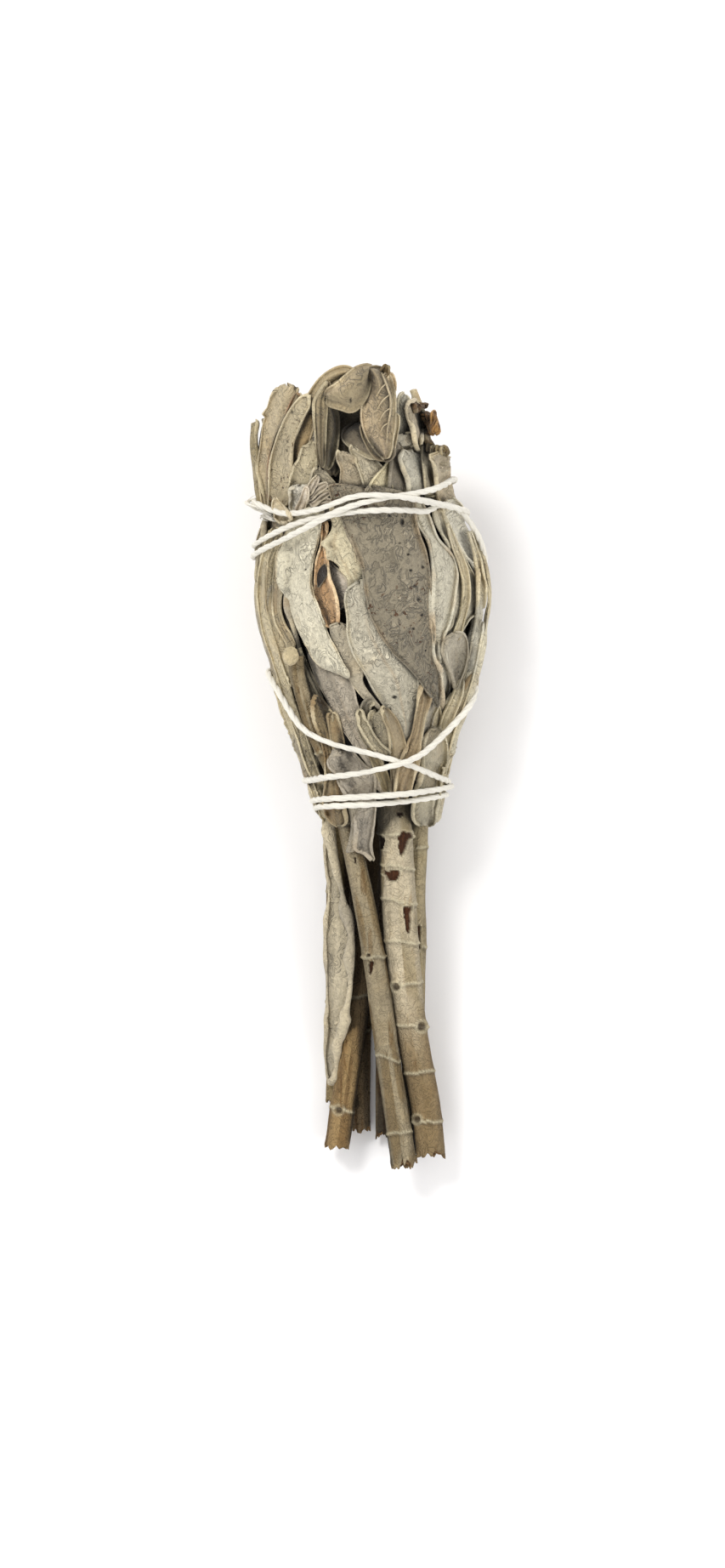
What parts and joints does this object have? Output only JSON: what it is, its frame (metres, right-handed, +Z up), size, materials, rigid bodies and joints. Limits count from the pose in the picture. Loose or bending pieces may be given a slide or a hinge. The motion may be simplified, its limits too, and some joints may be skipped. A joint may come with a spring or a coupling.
{
  "type": "dried sage bunch",
  "caption": "Dried white sage bunch lying on its side: felted overlapping leaves gathered on woody stems and wound with cotton twine.",
  "frame": {"origin": "centre of the bounding box in plan, on the surface that the bunch lies on", "axes": "+Y from the cut stems to the leaf tips, +Z up from the surface, +X to the right seen from above"},
  "size_m": [0.0514, 0.1705, 0.0538],
  "materials": {
    "sage_pale": "matt, felted dry leaf",
    "sage_grey": "matt, felted dry leaf",
    "sage_tan": "matt dry leaf",
    "stem_bark": "matt papery bark",
    "stem_brown": "matt bark",
    "cotton": "matt plied cotton"
  },
  "bodies": {
    "root": {"leaf_heart": "sage_grey", "leaf_back_0_0": "sage_grey", "leaf_back_0_1": "sage_pale", "leaf_back_0_2": "sage_grey", "leaf_back_0_3": "sage_pale", "leaf_back_0_4": "sage_grey", "leaf_back_1_0": "sage_pale", "leaf_back_1_1": "sage_grey", "leaf_back_1_2": "sage_pale", "leaf_back_1_3": "sage_grey", "leaf_back_1_4": "sage_pale", "leaf_back_1_5": "sage_grey", "leaf_resting": "sage_pale", "leaf_hanging": "sage_grey", "leaf_under_left": "sage_pale", "leaf_left_far_low": "sage_grey", "leaf_left_outer": "sage_pale", "leaf_left_strand": "sage_pale", "leaf_left_strand_high": "sage_pale", "leaf_left_low": "sage_pale", "leaf_top_tall": "sage_pale", "leaf_top_second": "sage_pale", "leaf_top_stick": "sage_tan", "leaf_top_middle": "sage_pale", "leaf_top_centre": "sage_pale", "leaf_top_right": "sage_pale", "leaf_top_narrow": "sage_pale", "leaf_top_tube": "sage_pale", "leaf_top_tan": "sage_tan", "leaf_right_silhouette": "sage_pale", "leaf_right_edge": "sage_pale", "leaf_right_low": "sage_grey", "leaf_right_fold": "sage_pale", "leaf_right_pointed": "sage_grey", "leaf_inner_tan": "sage_tan", "leaf_centre_left": "sage_pale", "leaf_mid_pale": "sage_pale", "leaf_torn_pale": "sage_pale", "leaf_torn_low": "sage_grey", "leaf_dark_broad": "sage_grey", "leaf_pale_left": "sage_pale", "leaf_neck_cut": "sage_grey", "leaf_neck_left": "sage_pale", "leaf_neck_middle": "sage_pale", "leaf_neck_right": "sage_pale", "leaf_neck_curled": "sage_pale", "stem_thick": "stem_bark", "stem_crossing": "stem_bark", "stem_right": "stem_bark", "stem_brown": "stem_brown", "stem_back": "stem_brown", "stem_left": "stem_brown", "stem_low": "stem_brown", "twine": "cotton"}
  },
  "joints": []
}
